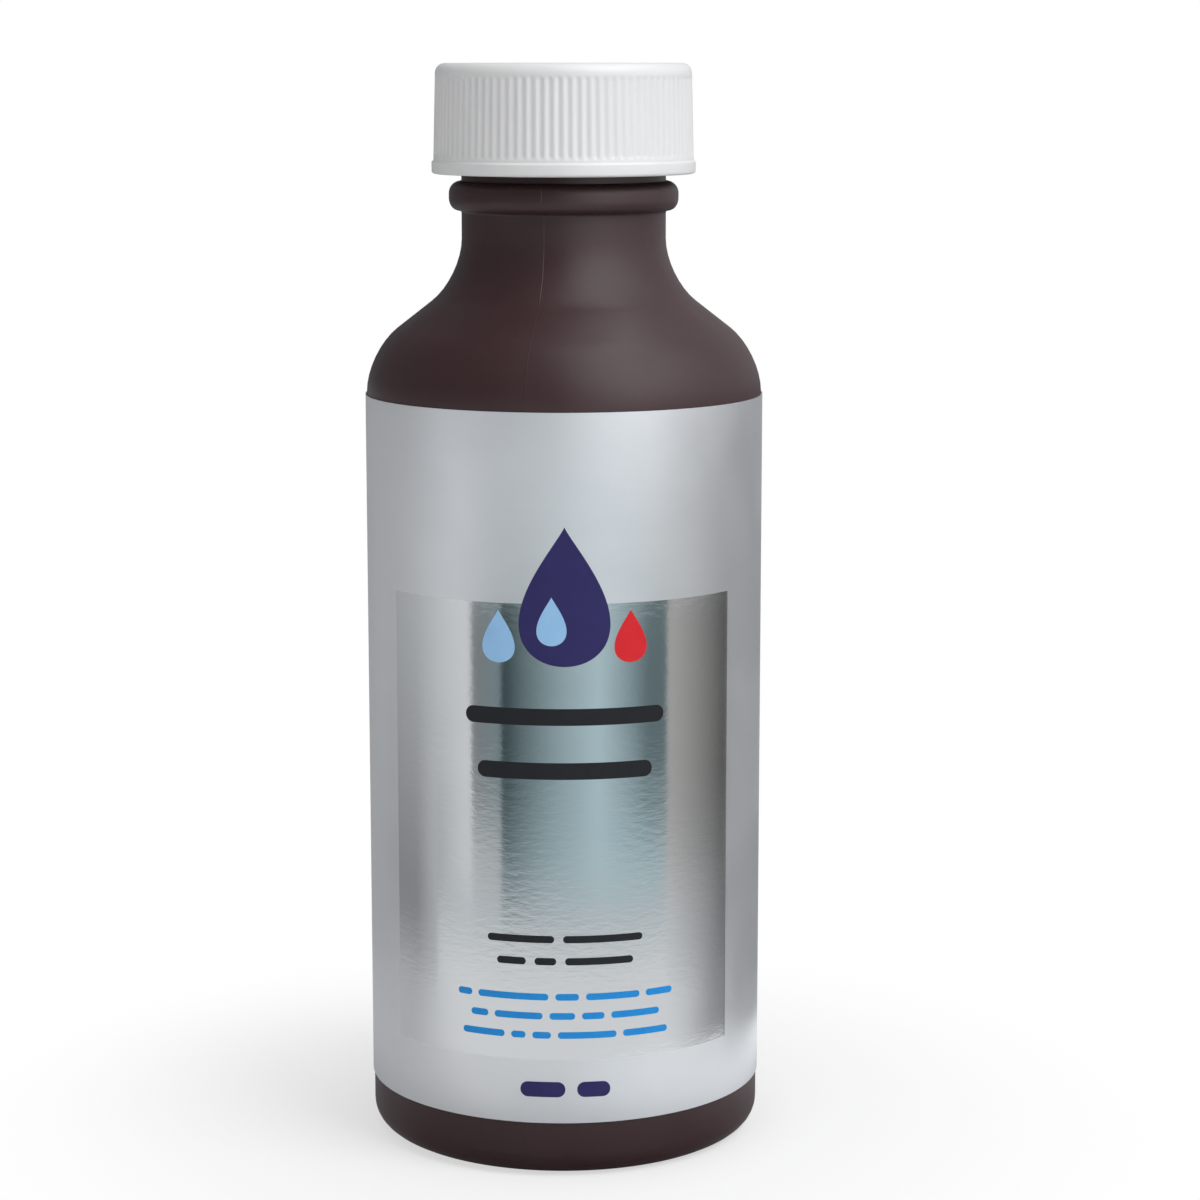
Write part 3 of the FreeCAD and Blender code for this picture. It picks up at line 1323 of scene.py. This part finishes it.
@dataclass
class Studio:
    """Pale floor, soft lamps, reflector cards and the camera."""

    floor_size: float = 8.0
    floor_gap: float = 0.02 * MM
    floor_steps: int = 64
    floor_paper: Colour = (0.85, 0.85, 0.85)
    shadow_reach: Span = (0.016, 0.070)
    shadow_white: float = 0.6
    panel_steps: int = 48
    card_strip: float = 4 * MM
    roof_size: float = 0.6
    roof_height: float = 0.30
    roof_left: Colour = (0.02, 0.02, 0.021)
    roof_right: Colour = (2.2, 2.2, 2.25)
    roof_across: Span = (-0.06, 0.10)
    # The mat stands in for the floor in reflections: its dark front is a painted shadow and its bright ring
    # is a painted highlight.
    mat_size: float = 0.13
    mat_rise: float = 0.05 * MM
    mat_edge: Span = (0.025, 0.045)
    mat_fade: float = 0.088
    mat_far: Colour = (0.48, 0.52, 0.54)
    mat_front_shadow: Colour = (0.03, 0.03, 0.03)
    mat_side: Colour = (0.31, 0.31, 0.32)
    mat_front_depth: Span = (-0.024, -0.004)
    mat_middle: Colour = (0.79, 0.79, 0.80)
    mat_middle_depth: Span = (-0.045, 0.002)
    mat_left: Colour = (0.50, 0.50, 0.51)
    mat_right: Colour = (0.30, 0.30, 0.31)
    mat_across: Span = (-0.06, 0.04)
    mat_highlight_ring: Colour = (1.34, 1.36, 1.39)
    mat_ring_across: Span = (0.0, 0.04)
    mat_ring_edge: Span = (0.047, 0.059)
    lamp_aim: float = 0.055
    ambient: float = 0.33
    camera_place: tuple[float, float, float] = (0.0, -0.330, 0.1114)
    camera_pitch: float = math.radians(9.48)
    camera_yaw: float = math.radians(0.65)
    lens: float = 95.24
    sensor: float = 36.0

    cards: tuple[Card, ...] = (
        Card("card_back_left", -180, -110, grey(0.25), grey(0.44), 0.075, (grey(0.36), grey(0.36))),
        Card("card_far_left", -128, -86, grey(0.33), grey(0.48), 0.085, (grey(0.26), grey(0.25))),
        Card("card_blend_left", -86, -71, grey(0.48), grey(0.60), 0.085, (grey(0.25), grey(0.50))),
        Card(
            "card_low_left", -128, -86, grey(0.265), grey(0.27), 0.0845, (grey(0.43), grey(0.41)), 0.009,
            top=0.009,
        ),
        Card(
            "card_low_blend", -86, -71, grey(0.27), grey(0.51), 0.0845, (grey(0.41), grey(0.53)), 0.009,
            top=0.009,
        ),
        Card("card_left", -100, -50, grey(0.44), grey(0.75), 0.13, (grey(0.02), grey(0.80)), 0.03),
        Card("card_near_left", -52, -34, grey(0.22), teal(0.20), 0.13, (grey(0.62), grey(0.56)), 0.02),
        Card("card_middle_left", -34, -8, teal(0.015), teal(0.26), 0.13, (teal(0.16), teal(0.36)), 0.02),
        Card("card_middle", -8, 18, teal(0.26), teal(0.48), 0.13, (teal(0.36), teal(0.47)), 0.02),
        Card("card_middle_right", 18, 45, teal(0.48), teal(0.125), 0.13, (teal(0.47), teal(0.48)), 0.02),
        Card("card_edge_right", 45, 70, teal(0.125), teal(0.11), 0.13, (teal(0.48), grey(0.54)), 0.02),
        Card(
            "card_right", 54, 98, grey(0.46, -0.06), grey(0.085, -0.05), 0.085, (grey(0.70), grey(0.19)),
            0.025,
        ),
        Card("card_far_right", 88, 180, grey(0.26), grey(0.10), 0.048, (grey(0.19), grey(0.17)), 0.025),
        Card("card_head_right", 58, 98, grey(0.38), grey(0.14), 0.084, (grey(2.0), grey(1.0)), 0.07, 0.05),
        band_card("card_band_left", -180, -72, (0.12, 0.12, 0.12), (0.42, 0.43, 0.44)),
        band_card("card_band_middle", -72, 62, (0.80, 0.82, 0.84), (0.70, 0.72, 0.74)),
        band_card("card_band_right", 62, 180, (0.30, 0.31, 0.32), (0.12, 0.12, 0.12)),
        upper_card("upper_back_left", -180, -60, (0.20, 0.20, 0.21), (0.13, 0.13, 0.14)),
        upper_card("upper_left", -60, 2, (0.06, 0.06, 0.06), (0.03, 0.03, 0.03)),
        upper_card("upper_strip", 2, 34, (0.60, 0.60, 0.61), (1.60, 1.60, 1.64)),
        upper_card("upper_right", 34, 105, (1.60, 1.60, 1.64), (0.62, 0.62, 0.64)),
        upper_card("upper_back_right", 105, 180, (0.62, 0.62, 0.64), (0.30, 0.30, 0.31)),
    )
    lamps: tuple[Lamp, ...] = (
        Lamp("key_lamp", 52, 49, 0.80, 0.45, 3.95),
        Lamp("fill_lamp", -40, 15, 0.90, 0.50, 0.6),
        Lamp("top_lamp", 10, 86, 0.80, 0.70, 1.15),
    )

    def build(self) -> None:
        """Set up the whole studio."""
        self._floor()
        for card in self.cards:
            self._card(card)
        self._roof()
        self._mat()
        for lamp in self.lamps:
            self._lamp(lamp)
        self._world()
        self._camera()

    @staticmethod
    def _seen(tree: Tree) -> Socket:
        """Mask the rays that see the background: from the camera, mirrors and clear things.

        Args:
            tree: Tree that takes the mask.

        Returns:
            The mask.
        """
        path = add(tree, "LightPath").outputs
        first = joined(tree, "MAXIMUM", path["Is Camera Ray"], path["Is Glossy Ray"])
        return joined(tree, "MAXIMUM", first, path["Is Transmission Ray"])

    def _floor(self) -> None:
        """Lay the white floor, which turns to plain white far from the bottle."""
        material, tree = new_material("floor_white")
        away = add(tree, "VectorMath", {0: placed(tree)}, operation="LENGTH").outputs["Value"]
        clear = ramp(tree, away, self.shadow_reach, self.shadow_white)
        blend = joined(tree, "MULTIPLY", clear, self._seen(tree))
        paper = add(tree, "BsdfDiffuse", {"Color": opaque(self.floor_paper)}).outputs[0]
        white = add(tree, "Emission", {"Color": opaque(PLAIN_WHITE), "Strength": 1.0}).outputs[0]
        close_material(tree, add(tree, "MixShader", {0: blend, 1: paper, 2: white}))
        new_object("floor", disc(self.floor_size, -self.floor_gap, self.floor_steps), [material])

    def _card(self, card: Card) -> None:
        """Stand a card round the bottle, seen in reflections alone.

        Args:
            card: Its angles, tones and distance.
        """
        left, right = math.radians(card.left), math.radians(card.right)
        bm = bmesh.new()
        middle = (left + right) / 2 * card.distance, (card.bottom + card.top) / 2
        flat_panel(bm, middle, ((right - left) * card.distance, card.top - card.bottom))
        slice_upright(bm, self.card_strip)
        bend(bm, card.distance)
        material, tree = new_material(card.name)
        to_back = add(tree, "VectorMath", {0: placed(tree), 1: (1, -1, 1)}, operation="MULTIPLY").outputs[0]
        axes = add(tree, "SeparateXYZ", {0: to_back}).outputs
        angle = joined(tree, "ARCTAN2", axes["X"], axes["Y"])
        across = add(tree, "MapRange", {"Value": angle, "From Min": left, "From Max": right}).outputs[0]
        tone = mixed(tree, across, opaque(card.tone), opaque(card.right_tone))
        if card.foot:
            foot = mixed(tree, across, *map(opaque, card.foot))
            tone = mixed(tree, ramp(tree, axes["Z"], (0.0, card.foot_height)), foot, tone)
        self._reflector(bm, material, tone)

    def _roof(self) -> None:
        """Close the cards with a roof, dark over the left and paler over the right."""
        material, tree = new_material("roof")
        axes = add(tree, "SeparateXYZ", {0: placed(tree)}).outputs
        across = ramp(tree, axes["X"], self.roof_across)
        tone = mixed(tree, across, opaque(self.roof_left), opaque(self.roof_right))
        self._reflector(disc(self.roof_size, self.roof_height, self.panel_steps), material, tone)

    def _mat(self) -> None:
        """Lay a glowing mat under the bottle that only reflections show: a painted shadow before its front,
        so that the base mirrors its own shade, and a painted bright ring to the right.
        """
        material, tree = new_material("mat")
        place = placed(tree)
        axes = add(tree, "SeparateXYZ", {0: place}).outputs
        away = add(tree, "VectorMath", {0: place}, operation="LENGTH").outputs["Value"]
        # Painted shadow before the front and painted highlight ring to the right, seen in reflections
        # alone.
        front = ramp(tree, axes["Y"], self.mat_front_depth)
        inner = mixed(tree, front, opaque(self.mat_front_shadow), opaque(self.mat_side))
        across = ramp(tree, axes["X"], self.mat_across)
        sides = mixed(tree, across, opaque(self.mat_left), opaque(self.mat_right))
        outer = mixed(tree, ramp(tree, axes["Y"], self.mat_middle_depth), opaque(self.mat_middle), sides)
        ring = mixed(tree, ramp(tree, axes["X"], self.mat_ring_across), outer, opaque(self.mat_highlight_ring))
        outer = mixed(tree, ramp(tree, away, self.mat_ring_edge), ring, outer)
        outer = mixed(tree, ramp(tree, away, (self.mat_fade, self.mat_size)), outer, opaque(self.mat_far))
        tone = mixed(tree, ramp(tree, away, self.mat_edge), inner, outer)
        self._reflector(disc(self.mat_size, self.mat_rise, self.panel_steps), material, tone)

    @staticmethod
    def _reflector(bm: BMesh, material: Material, tone: Socket) -> None:
        """Place a glowing panel that only reflections show.

        Args:
            bm: Its mesh, which is freed.
            material: Its open material, whose name it takes.
            tone: Its colour.
        """
        close_material(material.node_tree, add(material.node_tree, "Emission", {"Color": tone}))
        panel = new_object(material.name, bm, [material])
        panel.visible_camera = False
        panel.visible_diffuse = False
        panel.visible_shadow = False
        panel.visible_transmission = False

    def _lamp(self, lamp: Lamp) -> None:
        """Hang a soft lamp that looks at the middle of the bottle.

        Args:
            lamp: Its place and power.
        """
        data = bpy.data.lights.new(lamp.name, "AREA")
        data.shape = "SQUARE"
        data.size = lamp.size
        data.energy = lamp.power
        turn, rise = math.radians(lamp.azimuth), math.radians(lamp.elevation)
        away = Vector((math.sin(turn) * math.cos(rise), -math.cos(turn) * math.cos(rise), math.sin(rise)))
        light = bpy.data.objects.new(lamp.name, data)
        light.location = away * lamp.distance + Vector((0, 0, self.lamp_aim))
        light.rotation_euler = (-away).to_track_quat("-Z", "Y").to_euler()
        bpy.context.scene.collection.objects.link(light)

    def _world(self) -> None:
        """Fill the room with soft light, plain white where it is seen."""
        world = bpy.data.worlds.new("studio")
        world.use_nodes = True
        tree = world.node_tree
        tree.nodes.clear()
        level = ranged(tree, self._seen(tree), self.ambient, 1.0)
        sky = add(tree, "Background", {"Color": opaque(PLAIN_WHITE), "Strength": level})
        add(tree, "OutputWorld", {"Surface": sky.outputs[0]})
        bpy.context.scene.world = world

    def _camera(self) -> None:
        """Put the camera level with the cap, looking down at the label."""
        data = bpy.data.cameras.new("camera")
        data.lens = self.lens
        data.sensor_width = self.sensor
        camera = bpy.data.objects.new("camera", data)
        camera.location = self.camera_place
        camera.rotation_euler = (math.pi / 2 - self.camera_pitch, 0.0, -self.camera_yaw)
        bpy.context.scene.collection.objects.link(camera)
        bpy.context.scene.camera = camera


def main() -> None:
    """Build the studio and every piece of the bottle."""
    logging.basicConfig(level=logging.INFO, format="%(name)s: %(message)s")
    bpy.context.scene.view_settings.view_transform = "Standard"
    Studio().build()
    effects = Effects()
    bottle = Bottle()
    bottle.build(effects)
    ScrewCap().build(effects, bottle.thread())
    CapLiner().build(effects, bottle)
    WrapLabel().build(effects)


if __name__ == "__main__":
    main()
